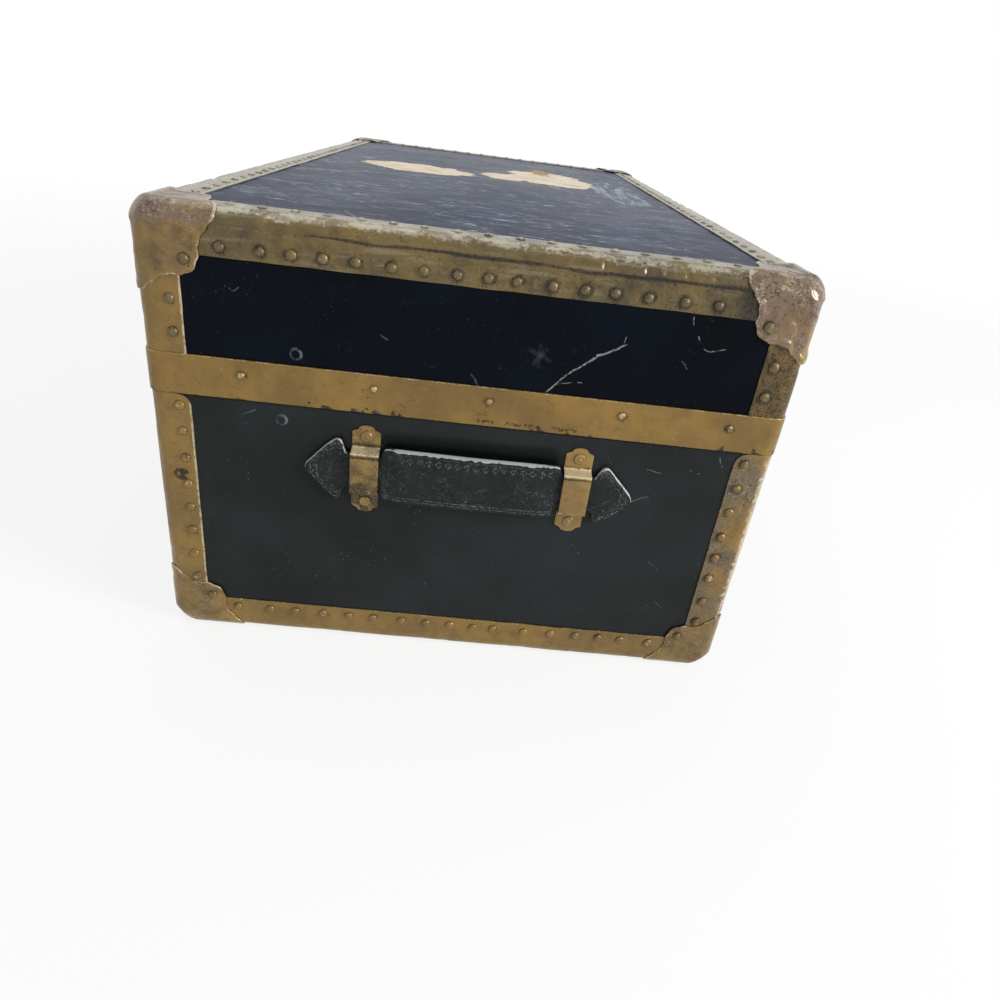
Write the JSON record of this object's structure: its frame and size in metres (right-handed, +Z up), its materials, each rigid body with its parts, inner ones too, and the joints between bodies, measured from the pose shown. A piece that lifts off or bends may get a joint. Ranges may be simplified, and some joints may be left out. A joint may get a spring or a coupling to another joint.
{
  "type": "locker trunk",
  "caption": "Black sheet-covered trunk with brass-painted edge bindings, corner caps, a hinged lid, a lock with side catches and a leather handle on each end.",
  "frame": {"origin": "on the floor under the middle of the trunk, at the level of the underside of its corner caps", "axes": "+X along the length towards the right-hand end, +Y from the lock side to the hinge side, +Z up"},
  "size_m": [0.7882, 0.4268, 0.302],
  "materials": {
    "brass_paint": "worn brass-coloured paint on sheet steel",
    "loop_brass": "dull brass plating, rubbed on the bends",
    "lock_brass": "dull brass plating",
    "brass_nails": "tarnished brass plating",
    "steel": "plain steel, dulled",
    "black_sheet": "black enamel, scratched",
    "plywood": "bare plywood",
    "lining_paper": "aged lining paper",
    "black_leather": "black stitched leather, rubbed white on its edges"
  },
  "bodies": {
    "base": {"base_front_board": "plywood", "base_back_board": "plywood", "base_left_board": "plywood", "base_right_board": "plywood", "base_bottom_board": "plywood", "base_wall_skins": "black_sheet", "base_bottom_skin": "black_sheet", "base_lining": "lining_paper", "base_rim_strips": "steel", "base_corner_bindings": "brass_paint", "base_front_binding": "brass_paint", "base_back_binding": "brass_paint", "base_left_binding": "brass_paint", "base_right_binding": "brass_paint", "base_corner_cap_front_left": "brass_paint", "base_corner_cap_front_right": "brass_paint", "base_corner_cap_back_left": "brass_paint", "base_corner_cap_back_right": "brass_paint", "base_binding_nails": "brass_nails", "underside_nails": "steel", "lock_case": "lock_brass", "catch_base_plates": "lock_brass", "hinge_base_leaves": "lock_brass", "hinge_pins": "steel", "handle_loops_left": "loop_brass", "handle_loops_right": "loop_brass", "base_rivets": "brass_nails"},
    "lid": {"lid_front_board": "plywood", "lid_back_board": "plywood", "lid_left_board": "plywood", "lid_right_board": "plywood", "lid_top_board": "plywood", "lid_wall_skins": "black_sheet", "lid_top_skin": "black_sheet", "lid_lining": "lining_paper", "lid_corner_bindings": "brass_paint", "lid_front_binding": "brass_paint", "lid_back_binding": "brass_paint", "lid_left_binding": "brass_paint", "lid_right_binding": "brass_paint", "lid_band": "brass_paint", "lid_corner_cap_front_left": "brass_paint", "lid_corner_cap_front_right": "brass_paint", "lid_corner_cap_back_left": "brass_paint", "lid_corner_cap_back_right": "brass_paint", "lid_binding_nails": "brass_nails", "lid_band_nails": "brass_nails", "hasp_plate": "lock_brass", "catch_lid_plates": "lock_brass", "hinge_lid_leaves": "lock_brass", "flap_pins": "steel", "lid_rivets": "brass_nails"},
    "lock_cylinder": {"lock_cylinder": "steel"},
    "hasp": {"hasp": "lock_brass"},
    "catch_strap_left": {"catch_strap_left": "lock_brass"},
    "catch_strap_right": {"catch_strap_right": "lock_brass"},
    "leather_handle_left": {"leather_handle_left": "black_leather"},
    "leather_handle_right": {"leather_handle_right": "black_leather"}
  },
  "joints": [
    {"name": "lid_hinge", "type": "hinge", "parent": "base", "child": "lid", "pos_m": [0, 0.21, 0.1862], "axis": [-1, 0, 0], "range_deg": [0, 100]},
    {"name": "hasp_swing", "type": "hinge", "parent": "lid", "child": "hasp", "pos_m": [0, -0.2104, 0.1905], "axis": [-1, 0, 0], "range_deg": [0, 150]},
    {"name": "left_catch_swing", "type": "hinge", "parent": "lid", "child": "catch_strap_left", "pos_m": [-0.235, -0.2104, 0.1905], "axis": [-1, 0, 0], "range_deg": [0, 150]},
    {"name": "right_catch_swing", "type": "hinge", "parent": "lid", "child": "catch_strap_right", "pos_m": [0.235, -0.2104, 0.1905], "axis": [-1, 0, 0], "range_deg": [0, 150]},
    {"name": "lock_turn", "type": "hinge", "parent": "base", "child": "lock_cylinder", "pos_m": [0, -0.207, 0.1405], "axis": [0, -1, 0], "range_deg": [0, 90]},
    {"name": "left_handle_slide", "type": "slide", "parent": "base", "child": "leather_handle_left", "axis": [0, 1, 0], "range_m": [-0.0012, 0.0012]},
    {"name": "right_handle_slide", "type": "slide", "parent": "base", "child": "leather_handle_right", "axis": [0, 1, 0], "range_m": [-0.0012, 0.0012]}
  ]
}
